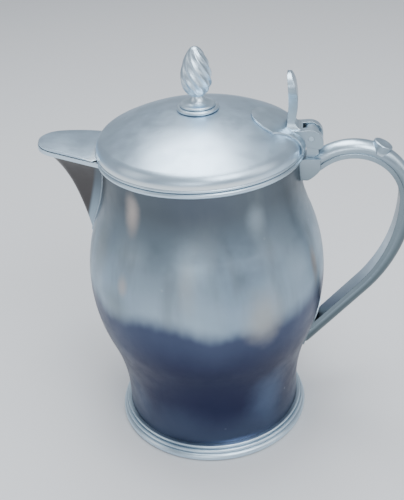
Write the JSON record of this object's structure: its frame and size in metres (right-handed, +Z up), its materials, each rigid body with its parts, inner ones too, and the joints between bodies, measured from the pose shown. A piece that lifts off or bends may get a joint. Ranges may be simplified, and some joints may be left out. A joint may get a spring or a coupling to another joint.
{
  "type": "lidded jug",
  "caption": "Lidded pewter jug: bellied body on a reeded foot, covered V spout, strap handle, and a hinged domed lid with thumbpiece and wrythen finial.",
  "frame": {"origin": "on the jug's axis, level with the table under the foot", "axes": "+Z up along the jug's axis, handle towards +X, spout towards -X, hinge pin along Y"},
  "size_m": [0.2217, 0.1462, 0.25],
  "materials": {
    "pewter_body": "satin",
    "pewter_lid": "satin",
    "pewter_cast": "satin",
    "hinge_and_fixings": "dull"
  },
  "bodies": {
    "jug": {"body_shell": "pewter_body", "foot_ring": "pewter_cast", "base_plate": "pewter_body", "rim_bead": "pewter_cast", "spout_shell": "pewter_body", "spout_lip_bead": "pewter_cast", "handle": "pewter_cast", "handle_button": "pewter_cast", "handle_upper_bracket": "pewter_cast", "handle_lower_pad": "pewter_cast", "handle_knuckle": "pewter_cast", "hinge_pin": "hinge_and_fixings"},
    "lid": {"lid_dome": "pewter_lid", "lid_edge_bead": "pewter_cast", "lid_locating_ring": "pewter_cast", "spout_cover": "pewter_lid", "finial_collar": "pewter_cast", "finial_egg": "pewter_cast", "finial_stud": "hinge_and_fixings", "finial_washer": "hinge_and_fixings", "finial_nut": "hinge_and_fixings", "lid_hinge": "pewter_cast", "thumbpiece": "pewter_cast"}
  },
  "joints": [
    {"name": "lid_hinge_joint", "type": "hinge", "parent": "jug", "child": "lid", "pos_m": [0.0642, 0, 0.1982], "axis": [0, 1, 0], "range_deg": [0, 105]}
  ]
}
